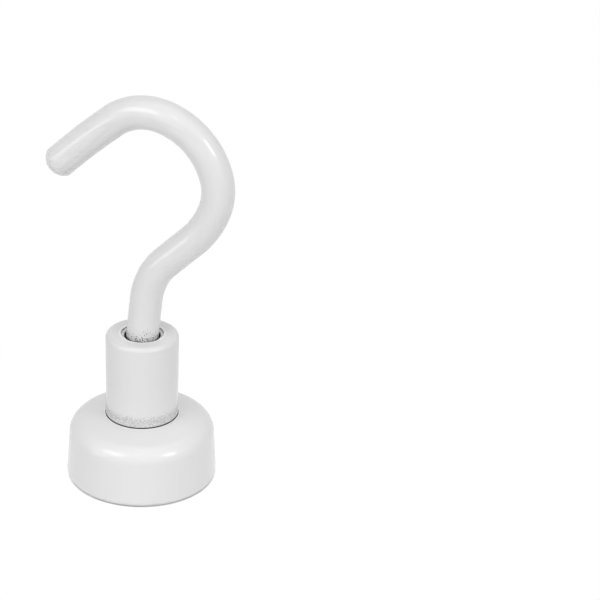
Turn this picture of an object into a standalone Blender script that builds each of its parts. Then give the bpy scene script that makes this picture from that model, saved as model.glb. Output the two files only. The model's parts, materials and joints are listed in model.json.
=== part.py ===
"""Magnetic hook: a steel pot with a disc magnet, a collar in its top and a bent rod that turns in it.

Metres, +Z up. The origin is the centre of the magnet's flat face, which is level with the pot's rim.
The collar, the pot and the swivel share the Z axis. The hook is bent in the XZ plane.
"""
import math

import bmesh
import bpy
from mathutils import Matrix, Vector

# Gaps between neighbours
SEAT_GAP = 0.00030
THREAD_GAP = 0.00010

# Magnet, a plated disc, and the bed that it is glued to
MAGNET_RADIUS = 0.00755
MAGNET_THICKNESS = 0.00400
MAGNET_EDGE_ROUND = 0.00040
MAGNET_CLEARANCE = 0.00045
ADHESIVE_THICKNESS = 0.00060
ADHESIVE_EDGE_ROUND = 0.00015

# Countersunk screw, drawn without its thread
SCREW_RADIUS = 0.00150
SCREW_HEAD_RADIUS = 0.00280
SCREW_HEAD_LAND = 0.00020
SCREW_LENGTH = 0.00600
SCREW_TIP_CHAMFER = 0.00030
SOCKET_ACROSS_FLATS = 0.00200
SOCKET_DEPTH = 0.00110

# Pot, the coated steel cup. The wall goes round the pocket, the side's rise is measured from the
# pocket's ceiling to the shoulder, and the floor's land is what is left above the countersink.
POT_WALL = 0.00200
POT_FOOT_ROUND = 0.00070
POT_SIDE_DRAFT = math.radians(3.5)
POT_SIDE_RISE = 0.00094
POT_SHOULDER_ROUND = 0.00233
POT_TOP_SLOPE = math.radians(13.1)
POT_FLOOR_LAND = 0.00050
POT_LIP_ROUND = 0.00012
POT_RIM_ROUND = 0.00020

# Retaining ring, a split ring of round wire in the shank's groove
RING_WIRE_RADIUS = 0.00045
RING_GROOVE_DEPTH = 0.00062
RING_GROOVE_START = 0.00100
RING_SPLIT = math.radians(40)

# Collar, the sleeve that the hook turns in. The wall goes round the ring's undercut.
COLLAR_WALL = 0.00180
COLLAR_LENGTH = 0.01317
COLLAR_TOP_ROUND = 0.00066
COLLAR_FOOT_CHAMFER = 0.00020
COLLAR_SEAM = 0.00016
BORE_CLEARANCE = 0.00032
MOUTH_ROUND = 0.00047

# Hook, the coated rod: its straight shank, which starts to bend a little below the collar's top,
# then its bends in order from there up. A positive angle bends it towards +X. The tip is a dome
# whose radius is a little larger than the rod's.
ROD_RADIUS = 0.00213
SHANK_CHAMFER = 0.00040
BEND_DEPTH = 0.00110
LEAN_RADIUS = 0.015347
LEAN_ANGLE = math.radians(5.44)
LEAN_LENGTH = 0.004617
KNEE_RADIUS = 0.009973
KNEE_ANGLE = math.radians(22.47)
KNEE_TIGHT_RADIUS = 0.008369
KNEE_TIGHT_ANGLE = math.radians(17.11)
FLANK_LENGTH = 0.005153
BULGE_RADIUS = 0.011814
BULGE_ANGLE = math.radians(-27.64)
SHOULDER_RADIUS = 0.007578
SHOULDER_ANGLE = math.radians(-33.14)
CROWN_RADIUS = 0.010029
CROWN_ANGLE = math.radians(-56.76)
BEAK_RADIUS = 0.007624
BEAK_ANGLE = math.radians(-56.66)
TAIL_RADIUS = 0.097364
TAIL_ANGLE = math.radians(-5.34)
TAIL_LENGTH = 0.00086
TIP_FLATNESS = 0.00018

# Facets
MERGE_DISTANCE = 0.0000001
SHARP_ANGLE = math.radians(35)
POT_SEGMENTS = 80
COLLAR_SEGMENTS = 56
ROD_SEGMENTS = 28
SCREW_SEGMENTS = 32
RING_SEGMENTS = 12
ROUND_STEPS = 4
SHOULDER_STEPS = 6
BEND_STEP = math.radians(7)
RING_STEPS = 28
TIP_ANGLE_SHARES = (0.8, 0.62, 0.45, 0.28, 0.12)

# Sizes and places that follow from those above, from the magnet's face up
QUARTER_TURN = math.pi / 2
POCKET_RADIUS = MAGNET_RADIUS + MAGNET_CLEARANCE
POT_RADIUS = POCKET_RADIUS + POT_WALL
ADHESIVE_HEIGHT = MAGNET_THICKNESS + SEAT_GAP
FLOOR_BOTTOM = ADHESIVE_HEIGHT + ADHESIVE_THICKNESS + SEAT_GAP
POT_SIDE_TOP = FLOOR_BOTTOM + POT_SIDE_RISE
SCREW_NECK = SCREW_HEAD_LAND + SCREW_HEAD_RADIUS - SCREW_RADIUS
SEAT_BOTTOM = FLOOR_BOTTOM + SCREW_NECK + POT_FLOOR_LAND
COLLAR_FOOT = SEAT_BOTTOM + SEAT_GAP
COLLAR_FLOOR = FLOOR_BOTTOM + SCREW_LENGTH + SEAT_GAP - COLLAR_FOOT
COLLAR_TOP = COLLAR_FOOT + COLLAR_LENGTH
SHANK_END = COLLAR_FOOT + COLLAR_FLOOR + SEAT_GAP
SHANK_LENGTH = COLLAR_TOP - BEND_DEPTH - SHANK_END
GROOVE_HEIGHT = 2 * (RING_WIRE_RADIUS + SEAT_GAP)
GROOVE_BOTTOM = SHANK_END + RING_GROOVE_START
GROOVE_FLOOR_RADIUS = ROD_RADIUS - RING_GROOVE_DEPTH
RING_RADIUS = GROOVE_FLOOR_RADIUS + SEAT_GAP + RING_WIRE_RADIUS
RING_HEIGHT = GROOVE_BOTTOM + GROOVE_HEIGHT / 2
UNDERCUT_RADIUS = RING_RADIUS + RING_WIRE_RADIUS + SEAT_GAP
BORE_RADIUS = ROD_RADIUS + BORE_CLEARANCE
COLLAR_RADIUS = UNDERCUT_RADIUS + COLLAR_WALL
SEAT_RADIUS = COLLAR_RADIUS + COLLAR_SEAM
TIP_RADIUS = ROD_RADIUS + TIP_FLATNESS


def clear_scene():
    for old in list(bpy.data.objects):
        bpy.data.objects.remove(old, do_unlink=True)


def coat(name, colour, roughness, metallic):
    """A plain Principled material."""
    material = bpy.data.materials.new(name)
    material.use_nodes = True
    shader = material.node_tree.nodes["Principled BSDF"]
    shader.inputs["Base Color"].default_value = (*colour, 1.0)
    shader.inputs["Roughness"].default_value = roughness
    shader.inputs["Metallic"].default_value = metallic
    return material


def add_object(name, bm, material, height=0.0, parent=None):
    """Makes an object of a finished bmesh, with its origin on the Z axis at the given height."""
    bmesh.ops.recalc_face_normals(bm, faces=bm.faces)
    mesh = bpy.data.meshes.new(name)
    bm.to_mesh(mesh)
    bm.free()
    mesh.materials.append(material)
    mesh.shade_smooth()
    mesh.set_sharp_from_angle(angle=SHARP_ANGLE)
    piece = bpy.data.objects.new(name, mesh)
    bpy.context.collection.objects.link(piece)
    piece.parent = parent
    piece.location.z = height - (parent.location.z if parent else 0.0)
    return piece


def add_axis(name, height):
    """An empty on the Z axis that carries the pieces of one body."""
    empty = bpy.data.objects.new(name, None)
    bpy.context.collection.objects.link(empty)
    empty.location.z = height
    return empty


def arc(centre, radius, start, end, steps):
    """Points of an arc in (r, z), angles from +r towards +z."""
    turns = [start + (end - start) * k / steps for k in range(steps + 1)]
    return [(centre[0] + radius * math.cos(a), centre[1] + radius * math.sin(a)) for a in turns]


def turned(outline, closed, segments):
    """Spins an (r, z) outline about Z. An open outline has both ends on the axis."""
    bm = bmesh.new()
    points = [bm.verts.new((r, 0.0, z)) for r, z in outline]
    pairs = list(zip(points, points[1:]))
    if closed:
        pairs.append((points[-1], points[0]))
    edges = [bm.edges.new(pair) for pair in pairs]
    bmesh.ops.spin(
        bm, geom=points + edges, cent=(0, 0, 0), axis=(0, 0, 1), angle=math.tau, steps=segments,
        use_merge=True,
    )
    bmesh.ops.remove_doubles(bm, verts=bm.verts, dist=MERGE_DISTANCE)
    return bm


def swept(stations, side, segments):
    """Joins circles along a path. A station is (centre, direction, radius)."""
    bm = bmesh.new()
    rings = []
    for centre, direction, radius in stations:
        frame = Matrix((side, direction.cross(side), direction)).transposed().to_4x4()
        bmesh.ops.create_circle(
            bm, segments=segments, radius=radius, matrix=Matrix.Translation(centre) @ frame
        )
        bm.edges.ensure_lookup_table()
        rings.append(bm.edges[-segments:])
    for lower, upper in zip(rings, rings[1:]):
        bmesh.ops.bridge_loops(bm, edges=lower + upper)
    bmesh.ops.holes_fill(bm, edges=rings[0] + rings[-1], sides=segments)
    return bm


def cut(target, cutter_bm, name, height):
    """Cuts a closed shape out of a piece and hides the cutter."""
    cutter = add_object(name, cutter_bm, target.data.materials[0], height, target.parent)
    cutter.hide_render = True
    cutter.display_type = "WIRE"
    modifier = target.modifiers.new(name, "BOOLEAN")
    modifier.operation = "DIFFERENCE"
    modifier.solver = "EXACT"
    modifier.object = cutter


def pot_shoulder():
    """Centre of the shoulder's round, and the radius and height where it meets the sloping top."""
    foot_r = POT_RADIUS - POT_FOOT_ROUND + POT_FOOT_ROUND * math.cos(POT_SIDE_DRAFT)
    foot_z = POT_FOOT_ROUND + POT_FOOT_ROUND * math.sin(POT_SIDE_DRAFT)
    side_r = foot_r - (POT_SIDE_TOP - foot_z) * math.tan(POT_SIDE_DRAFT)
    centre = (
        side_r - POT_SHOULDER_ROUND * math.cos(POT_SIDE_DRAFT),
        POT_SIDE_TOP - POT_SHOULDER_ROUND * math.sin(POT_SIDE_DRAFT),
    )
    end = (
        centre[0] + POT_SHOULDER_ROUND * math.sin(POT_TOP_SLOPE),
        centre[1] + POT_SHOULDER_ROUND * math.cos(POT_TOP_SLOPE),
    )
    return centre, end


def pot_top_at(radius):
    """Height of the pot's sloping top at a radius."""
    _, end = pot_shoulder()
    return end[1] + (end[0] - radius) * math.tan(POT_TOP_SLOPE)


def make_pot(parent):
    lip_r = SEAT_RADIUS + POT_LIP_ROUND
    lip = (lip_r, pot_top_at(lip_r) - POT_LIP_ROUND / math.cos(POT_TOP_SLOPE))
    shoulder, _ = pot_shoulder()
    foot = (POT_RADIUS - POT_FOOT_ROUND, POT_FOOT_ROUND)
    rim = (POCKET_RADIUS + POT_RIM_ROUND, POT_RIM_ROUND)
    hole = SCREW_RADIUS + SEAT_GAP
    sink = SCREW_HEAD_RADIUS + SEAT_GAP
    top_normal = QUARTER_TURN - POT_TOP_SLOPE
    outline = arc(lip, POT_LIP_ROUND, math.pi, top_normal, ROUND_STEPS)
    outline += arc(shoulder, POT_SHOULDER_ROUND, top_normal, POT_SIDE_DRAFT, SHOULDER_STEPS)
    outline += arc(foot, POT_FOOT_ROUND, POT_SIDE_DRAFT, -QUARTER_TURN, ROUND_STEPS)
    outline += arc(rim, POT_RIM_ROUND, -QUARTER_TURN, -math.pi, ROUND_STEPS)
    outline += [
        (POCKET_RADIUS, FLOOR_BOTTOM),
        (sink, FLOOR_BOTTOM),
        (sink, FLOOR_BOTTOM + SCREW_HEAD_LAND),
        (hole, FLOOR_BOTTOM + SCREW_NECK),
        (hole, SEAT_BOTTOM),
        (SEAT_RADIUS, SEAT_BOTTOM),
    ]
    material = coat("pot_coat", (0.80, 0.80, 0.80), 0.35, 0.0)
    return add_object("pot", turned(outline, True, POT_SEGMENTS), material, 0.0, parent)


def make_collar(parent):
    """Heights here are from the collar's foot."""
    top_edge = (COLLAR_RADIUS - COLLAR_TOP_ROUND, COLLAR_LENGTH - COLLAR_TOP_ROUND)
    mouth = (BORE_RADIUS + MOUTH_ROUND, COLLAR_LENGTH - MOUTH_ROUND)
    tapped = SCREW_RADIUS + THREAD_GAP
    undercut = GROOVE_BOTTOM - COLLAR_FOOT
    outline = arc(mouth, MOUTH_ROUND, math.pi, QUARTER_TURN, ROUND_STEPS)
    outline += arc(top_edge, COLLAR_TOP_ROUND, QUARTER_TURN, 0.0, ROUND_STEPS)
    outline += [
        (COLLAR_RADIUS, COLLAR_FOOT_CHAMFER),
        (COLLAR_RADIUS - COLLAR_FOOT_CHAMFER, 0.0),
        (tapped, 0.0),
        (tapped, COLLAR_FLOOR),
        (BORE_RADIUS, COLLAR_FLOOR),
        (BORE_RADIUS, undercut),
        (UNDERCUT_RADIUS, undercut),
        (UNDERCUT_RADIUS, undercut + GROOVE_HEIGHT),
        (BORE_RADIUS, undercut + GROOVE_HEIGHT),
    ]
    material = coat("collar_coat", (0.78, 0.78, 0.78), 0.35, 0.0)
    return add_object("collar", turned(outline, True, COLLAR_SEGMENTS), material, COLLAR_FOOT, parent)


def make_magnet(parent):
    upper = (MAGNET_RADIUS - MAGNET_EDGE_ROUND, MAGNET_THICKNESS - MAGNET_EDGE_ROUND)
    lower = (MAGNET_RADIUS - MAGNET_EDGE_ROUND, MAGNET_EDGE_ROUND)
    outline = [(0.0, MAGNET_THICKNESS)]
    outline += arc(upper, MAGNET_EDGE_ROUND, QUARTER_TURN, 0.0, ROUND_STEPS)
    outline += arc(lower, MAGNET_EDGE_ROUND, 0.0, -QUARTER_TURN, ROUND_STEPS)
    outline += [(0.0, 0.0)]
    material = coat("nickel_plate", (0.50, 0.48, 0.44), 0.35, 1.0)
    return add_object("magnet", turned(outline, False, POT_SEGMENTS), material, 0.0, parent)


def make_adhesive(parent):
    radius = POCKET_RADIUS - SEAT_GAP
    edge = (radius - ADHESIVE_EDGE_ROUND, ADHESIVE_EDGE_ROUND)
    outline = [(0.0, ADHESIVE_THICKNESS), (radius, ADHESIVE_THICKNESS)]
    outline += arc(edge, ADHESIVE_EDGE_ROUND, 0.0, -QUARTER_TURN, ROUND_STEPS)
    outline += [(0.0, 0.0)]
    bm = turned(outline, False, POT_SEGMENTS)
    material = coat("adhesive", (0.05, 0.05, 0.05), 0.5, 0.0)
    return add_object("magnet_adhesive", bm, material, ADHESIVE_HEIGHT, parent)


def make_screw(parent):
    """The head's face is level with the pot's inner floor and the tip points up into the collar."""
    outline = [
        (0.0, SCREW_LENGTH),
        (SCREW_RADIUS - SCREW_TIP_CHAMFER, SCREW_LENGTH),
        (SCREW_RADIUS, SCREW_LENGTH - SCREW_TIP_CHAMFER),
        (SCREW_RADIUS, SCREW_NECK),
        (SCREW_HEAD_RADIUS, SCREW_HEAD_LAND),
        (SCREW_HEAD_RADIUS, 0.0),
        (0.0, 0.0),
    ]
    bm = turned(outline, False, SCREW_SEGMENTS)
    material = coat("zinc_plate", (0.55, 0.56, 0.58), 0.35, 1.0)
    screw = add_object("clamp_screw", bm, material, FLOOR_BOTTOM, parent)
    corner = SOCKET_ACROSS_FLATS / math.sqrt(3)
    socket = bmesh.new()
    bmesh.ops.create_cone(
        socket, cap_ends=True, segments=6, depth=2 * SOCKET_DEPTH, radius1=corner, radius2=corner,
    )
    cut(screw, socket, "socket_cutter", FLOOR_BOTTOM)
    return screw


def hook_bends():
    """The rod's path after its straight shank: (straight length, bend radius, bend angle) in order."""
    return [
        (0.0, LEAN_RADIUS, LEAN_ANGLE),
        (LEAN_LENGTH, KNEE_RADIUS, KNEE_ANGLE),
        (0.0, KNEE_TIGHT_RADIUS, KNEE_TIGHT_ANGLE),
        (FLANK_LENGTH, BULGE_RADIUS, BULGE_ANGLE),
        (0.0, SHOULDER_RADIUS, SHOULDER_ANGLE),
        (0.0, CROWN_RADIUS, CROWN_ANGLE),
        (0.0, BEAK_RADIUS, BEAK_ANGLE),
        (0.0, TAIL_RADIUS, TAIL_ANGLE),
    ]


def along(heading):
    """Direction in the XZ plane, heading measured from +Z towards +X."""
    return Vector((math.sin(heading), 0.0, math.cos(heading)))


def hook_stations():
    """Circles of the hook from the shank's end to the rounded tip. Heights are from the shank's end."""
    up = along(0.0)
    groove_top = RING_GROOVE_START + GROOVE_HEIGHT
    profile = [
        (0.0, ROD_RADIUS - SHANK_CHAMFER),
        (SHANK_CHAMFER, ROD_RADIUS),
        (RING_GROOVE_START, ROD_RADIUS),
        (RING_GROOVE_START, GROOVE_FLOOR_RADIUS),
        (groove_top, GROOVE_FLOOR_RADIUS),
        (groove_top, ROD_RADIUS),
        (SHANK_LENGTH, ROD_RADIUS),
    ]
    stations = [(up * height, up, radius) for height, radius in profile]
    place = up * SHANK_LENGTH
    heading = 0.0
    for length, radius, angle in hook_bends():
        if length:
            place = place + along(heading) * length
            stations.append((place, along(heading), ROD_RADIUS))
        inwards = math.copysign(QUARTER_TURN, angle)
        centre = place + along(heading + inwards) * radius
        steps = max(2, round(abs(angle) / BEND_STEP))
        for k in range(1, steps + 1):
            turn = heading + angle * k / steps
            place = centre - along(turn + inwards) * radius
            stations.append((place, along(turn), ROD_RADIUS))
        heading += angle
    tail = place + along(heading) * TAIL_LENGTH
    stations.append((tail, along(heading), ROD_RADIUS))
    edge = math.asin(ROD_RADIUS / TIP_RADIUS)
    dome = tail - along(heading) * TIP_RADIUS * math.cos(edge)
    for share in TIP_ANGLE_SHARES:
        angle = share * edge
        ring = dome + along(heading) * TIP_RADIUS * math.cos(angle)
        stations.append((ring, along(heading), TIP_RADIUS * math.sin(angle)))
    return stations


def make_hook(parent):
    bm = swept(hook_stations(), Vector((0.0, 1.0, 0.0)), ROD_SEGMENTS)
    material = coat("hook_coat", (0.80, 0.80, 0.80), 0.3, 0.0)
    return add_object("hook", bm, material, SHANK_END, parent)


def make_retaining_ring(parent):
    """A round-wire ring, open on +X."""
    stations = []
    for k in range(RING_STEPS + 1):
        turn = RING_SPLIT / 2 + (math.tau - RING_SPLIT) * k / RING_STEPS
        centre = Vector((math.cos(turn), math.sin(turn), 0.0)) * RING_RADIUS
        direction = Vector((-math.sin(turn), math.cos(turn), 0.0))
        stations.append((centre, direction, RING_WIRE_RADIUS))
    bm = swept(stations, Vector((0.0, 0.0, 1.0)), RING_SEGMENTS)
    material = coat("spring_steel", (0.30, 0.31, 0.33), 0.3, 1.0)
    return add_object("retaining_ring", bm, material, RING_HEIGHT, parent)


def main():
    clear_scene()
    base = add_axis("base_axis", 0.0)
    swivel = add_axis("swivel_axis", COLLAR_TOP)
    make_pot(base)
    make_collar(base)
    make_magnet(base)
    make_adhesive(base)
    make_screw(base)
    make_hook(swivel)
    make_retaining_ring(swivel)
    bpy.context.view_layer.update()


if __name__ == "__main__":
    main()
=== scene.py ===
"""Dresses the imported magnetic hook: fine surfaces, coats, metals and the pale stage it stands on.

Metres, +Z up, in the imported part's own frame. Every piece stands for the CAD node of the same size
and place, and rides on that node's body. Run it as a script; the classes are laid out as an add-on.
"""

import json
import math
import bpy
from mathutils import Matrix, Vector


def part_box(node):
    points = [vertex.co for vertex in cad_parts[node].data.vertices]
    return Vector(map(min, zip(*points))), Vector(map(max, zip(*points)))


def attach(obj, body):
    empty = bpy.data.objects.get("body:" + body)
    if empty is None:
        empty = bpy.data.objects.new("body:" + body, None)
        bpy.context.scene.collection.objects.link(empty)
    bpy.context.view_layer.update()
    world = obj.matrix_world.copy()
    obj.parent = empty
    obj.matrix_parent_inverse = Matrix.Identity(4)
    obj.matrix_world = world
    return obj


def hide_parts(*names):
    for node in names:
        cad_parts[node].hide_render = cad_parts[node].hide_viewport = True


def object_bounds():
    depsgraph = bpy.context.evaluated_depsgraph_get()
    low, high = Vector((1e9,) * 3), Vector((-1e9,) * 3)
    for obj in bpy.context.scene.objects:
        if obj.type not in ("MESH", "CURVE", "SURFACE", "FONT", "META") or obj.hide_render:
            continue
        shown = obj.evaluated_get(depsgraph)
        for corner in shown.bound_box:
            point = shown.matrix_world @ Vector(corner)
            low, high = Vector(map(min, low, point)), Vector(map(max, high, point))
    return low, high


bl_info = {
    "name": "Magnetic Hook",
    "version": (1, 0, 0),
    "blender": (4, 5, 0),
    "location": "View3D > Sidebar > Magnetic Hook",
    "description": "Builds a small white magnetic hook piece by piece",
    "category": "Add Mesh",
}

import bmesh
import bpy
from bpy.props import FloatProperty, FloatVectorProperty, IntProperty, PointerProperty
from mathutils import Matrix, Vector

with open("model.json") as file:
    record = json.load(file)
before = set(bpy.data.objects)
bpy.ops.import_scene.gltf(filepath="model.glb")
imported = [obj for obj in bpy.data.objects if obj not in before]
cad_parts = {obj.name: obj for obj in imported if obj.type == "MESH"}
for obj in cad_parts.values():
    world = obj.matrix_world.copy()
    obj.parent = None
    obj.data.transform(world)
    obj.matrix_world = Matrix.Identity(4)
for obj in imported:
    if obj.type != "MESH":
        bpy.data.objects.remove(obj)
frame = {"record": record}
CAD_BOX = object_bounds()

ORIGIN = (0.0, 0.0, 0.0)
UPWARDS = (0.0, 0.0, 1.0)
QUARTER_TURN = math.pi / 2
MERGE_DISTANCE = 0.0000005
MICRON = 0.000001
SHARP_ANGLE = math.radians(30)

# Steps in the rounds and turns of the pieces
FOOT_STEPS = 18
SHOULDER_STEPS = 30
COLLAR_TOP_STEPS = 24
DISC_EDGE_STEPS = 14
EDGE_STEPS = 8
FILLET_STEPS = 6
TIP_STEPS = 20
BEND_STEP = math.radians(1.2)
THREAD_POINTS = 12
WIRE_POINTS = 32
RING_STEPS = 96

# How the coat's waves, grains and painted reflection lines, and the dark steel that is also painted
# shade, show in colour and gloss
COAT_SPECULAR = 0.16
GRAIN_THINNING = 0.25
GRAIN_EDGE = 0.035
BAND_EDGE = 0.15
BAND_ROUGHNESS = 0.30
WAVE_ROUGHNESS = 0.05
BARE_ROUGHNESS = 0.35
LINE_STRETCH = 0.014
LINE_WIDTH = 0.03

# Width of the edge between two finishes, and how far a mask reaches past its surface
MASK_EDGE = 0.00003
MASK_MARGIN = 0.00002

# Roughness, grain width and depth, mottling width and strength, and strength of the flecks
METALS = {
    "nickel_plate": (0.30, 0.00022, 5 * MICRON, 0.0040, 0.85, 0.70),
    "zinc_plate": (0.28, 0.00012, 3 * MICRON, 0.0016, 0.16, 0.25),
    "spring_steel": (0.32, 0.00010, 2 * MICRON, 0.0012, 0.20, 0.25),
}
MOTTLE_ROUGHNESS = 0.8

# The cured bed: its flow marks, and the waves round its edge as count and phase
FLOW_SCALE = 1400.0
FLOW_DEPTH = 30 * MICRON
FLOW_MARKS = (0.35, 0.7)
FLOW_GLOSS = (0.3, 0.7, 0.18, 0.42)
BED_WAVES = ((5, 0.7), (13, 0.0), (29, 2.0))

# Places read from the frame
POT_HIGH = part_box("pot")[1]
COLLAR_LOW, COLLAR_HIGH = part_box("collar")
HOOK_LOW, HOOK_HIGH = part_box("hook")
MAGNET_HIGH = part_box("magnet")[1]
BED_LOW, BED_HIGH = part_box("magnet_adhesive")
SCREW_LOW, SCREW_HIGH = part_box("clamp_screw")
RING_LOW, RING_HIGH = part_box("retaining_ring")

# The rod's bends in order from the collar up: straight length before it, radius, and the angle,
# which is positive where the rod turns towards +X
HOOK_BENDS = (
    (0.0, 0.015347, math.radians(5.44)),
    (0.004617, 0.009973, math.radians(22.47)),
    (0.0, 0.008369, math.radians(17.11)),
    (0.005153, 0.011814, math.radians(-27.64)),
    (0.0, 0.007578, math.radians(-33.14)),
    (0.0, 0.010029, math.radians(-56.76)),
    (0.0, 0.007624, math.radians(-56.66)),
    (0.0, 0.097364, math.radians(-5.34)),
)


def length(name, description, default):
    return FloatProperty(
        name=name, description=description, default=default, unit="LENGTH", precision=5,
    )


def angle(name, description, degrees):
    return FloatProperty(
        name=name, description=description, default=math.radians(degrees), subtype="ANGLE",
    )


def amount(name, description, default):
    return FloatProperty(name=name, description=description, default=default, precision=3)


def count(name, description, default):
    return IntProperty(name=name, description=description, default=default, min=3)


def colour(name, description, default):
    return FloatVectorProperty(
        name=name, description=description, default=default, size=3, min=0.0, max=1.0,
        subtype="COLOR",
    )


class PotSizes(bpy.types.PropertyGroup):
    """The coated steel pot"""
    radius: length("Radius", "Radius at the foot", POT_HIGH.x)
    foot_round: length("Foot round", "Radius of the outer edge at the foot", 0.00070)
    draft: angle("Draft", "How far the side leans in", 3.5)
    side_top: length("Side top", "Height where the side meets the shoulder", 0.00614)
    shoulder_round: length("Shoulder round", "Radius of the shoulder", 0.00233)
    top_slope: angle("Top slope", "How far the top rises towards the collar", 13.1)
    lip_round: length("Lip round", "Radius of the edge round the collar's seat", 0.00006)
    rim_round: length("Rim round", "Radius of the pocket's edge", 0.00020)
    pocket_radius: length("Pocket radius", "Radius of the magnet's pocket", 0.00800)
    seat_gap: length("Seat gap", "Gap round pieces that are seated", 0.00030)
    seam: length("Seam", "Gap round the collar's foot", 0.00003)
    countersink_land: length("Countersink land", "Straight part of the countersink", 0.00020)
    segments: count("Segments", "Faces round the pot", 224)


class CollarSizes(bpy.types.PropertyGroup):
    """The sleeve that the hook turns in"""
    radius: length("Radius", "Outer radius", COLLAR_HIGH.x)
    top_round: length("Top round", "Radius of the outer top edge", 0.00066)
    mouth_radius: length("Mouth radius", "Radius of the shallow step round the rod", 0.00280)
    mouth_depth: length("Mouth depth", "Depth of the shallow step", 0.00030)
    mouth_round: length("Mouth round", "Radius of the step's edges", 0.00010)
    groove_rise: length("Groove rise", "Height of the groove above the pot's lip", 0.00020)
    groove_depth: length("Groove depth", "Depth of the groove at the collar's foot", 0.00013)
    groove_edge: length("Groove edge", "Chamfer of the groove's upper edge", 0.00003)
    bore_clearance: length("Bore clearance", "Space between the rod and the bore", 0.00026)
    tapped_radius: length("Tapped radius", "Radius of the tapped hole", 0.00160)
    floor: length("Floor", "Height of the tapped floor", 0.00400)
    segments: count("Segments", "Faces round the collar", 176)


class RodSizes(bpy.types.PropertyGroup):
    """The bent rod"""
    radius: length("Radius", "Radius of the coated rod", HOOK_HIGH.y)
    chamfer: length("Chamfer", "Chamfer at the shank's end", 0.00040)
    bend_depth: length("Bend depth", "How far below the collar's top the bends start", 0.00110)
    groove_start: length("Groove start", "From the shank's end to the ring's groove", 0.00100)
    groove_depth: length("Groove depth", "Depth of the ring's groove", 0.00062)
    tail: length("Tail", "Straight length before the tip", 0.00086)
    tip_flatness: length("Tip flatness", "How much the tip's radius is over the rod's", 0.00018)
    segments: count("Segments", "Faces round the rod", 112)


class MagnetSizes(bpy.types.PropertyGroup):
    """The plated magnet and the bed it is glued to"""
    radius: length("Radius", "Radius of the disc", MAGNET_HIGH.x)
    thickness: length("Thickness", "Thickness of the disc", MAGNET_HIGH.z)
    edge_round: length("Edge round", "Radius of the disc's edges", 0.00040)
    bed_round: length("Bed round", "Radius of the bed's edge", 0.00015)
    bed_wave: length("Bed wave", "How unevenly the bed's edge has flowed", 0.00008)
    segments: count("Segments", "Faces round the disc", 192)


class FastenerSizes(bpy.types.PropertyGroup):
    """The countersunk screw and the retaining ring"""
    screw_radius: length("Screw radius", "Radius over the thread", 0.00150)
    thread_depth: length("Thread depth", "Depth of the thread", 0.00027)
    thread_pitch: length("Thread pitch", "Distance between turns of the thread", 0.00050)
    head_land: length("Head land", "Straight edge of the head", 0.00020)
    tip_chamfer: length("Tip chamfer", "Chamfer at the screw's tip", 0.00030)
    socket_flats: length("Socket", "Width across the socket's flats", 0.00200)
    socket_depth: length("Socket depth", "Depth of the socket", 0.00110)
    wire_radius: length("Wire radius", "Radius of the ring's wire", 0.00045)
    split: angle("Split", "Opening of the ring", 40)
    segments: count("Segments", "Faces round the screw", 72)


class Finishes(bpy.types.PropertyGroup):
    """Colours and surface detail"""
    # Painted light and shade: the pot's coat is a little lighter and the rod's a little darker than
    # the collar's, for how the light falls on each
    pot_coat: colour("Pot coat", "The pot's white powder coat", (0.836, 0.833, 0.835))
    collar_coat: colour("Collar coat", "The collar's white powder coat", (0.80, 0.797, 0.799))
    hook_coat: colour("Hook coat", "The rod's white powder coat", (0.79, 0.787, 0.789))
    coat_roughness: amount("Coat roughness", "Roughness under the coat's glossy skin", 0.34)
    skin_share: amount("Skin share", "Weight of the coat's glossy skin", 0.60)
    skin_roughness: amount("Skin roughness", "Roughness of the coat's glossy skin", 0.07)
    peel_size: length("Peel size", "Width of the coat's soft waves", 0.0011)
    peel_depth: length("Peel depth", "Depth of the coat's soft waves", 0.0000012)
    # Painted highlight: whiter rings of coat along the mouth's edge and round the collar's seat
    rim: colour("Rim", "The thicker coat along a sharp edge", (0.97, 0.97, 0.97))
    # Dark grains that get denser towards the collar's foot
    overspray: colour("Overspray", "Grains of thin coat at the collar's foot", (0.53, 0.53, 0.525))
    overspray_size: length("Overspray grain", "Width of the grains", 0.00011)
    overspray_low: length("Overspray low", "Height over the groove where they get fewer", 0.0008)
    overspray_high: length("Overspray high", "Height over the groove where they end", 0.0021)
    overspray_level: amount("Overspray level", "How few of the grains show", 0.47)
    overspray_wander: length("Overspray wander", "How unevenly the grains end", 0.0003)
    speck: colour("Speck", "Dark specks at the shank's foot", (0.14, 0.14, 0.138))
    speck_size: length("Speck size", "Width of the dark specks", 0.00013)
    speck_low: length("Speck low", "Height over the collar's top where they get fewer", -0.0004)
    speck_high: length("Speck high", "Height over the collar's top where they end", 0.0026)
    speck_level: amount("Speck level", "How few of the specks show", 0.54)
    speck_wander: length("Speck wander", "How unevenly the specks end", 0.0010)
    grain_depth: length("Grain depth", "Depth of the grains and specks", 0.000014)
    # Painted reflections: fine darker lines along the rod that stand for reflected strips, with how
    # strongly and how close they show
    painted_reflection_line: colour("Drawn line", "The fine lines along the rod", (0.62, 0.615, 0.60))
    line_share: amount("Line share", "How much of the lines shows through the coat", 0.16)
    line_spacing: length("Line spacing", "Rough distance between fine lines", 0.0006)
    nickel_plate: colour("Nickel", "The magnet's plating", (0.50, 0.475, 0.435))
    zinc_plate: colour("Zinc", "The screw's plating", (0.62, 0.63, 0.65))
    # Also painted shade: this dark steel is laid on the coated pieces where their gaps and bores
    # show black
    spring_steel: colour("Steel", "Bare steel of the ring and the pocket", (0.20, 0.20, 0.21))
    glue: colour("Glue", "The cured bed", (0.035, 0.035, 0.038))
    glue_flow: colour("Glue flow", "The bed's paler flow marks", (0.06, 0.06, 0.065))


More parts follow.
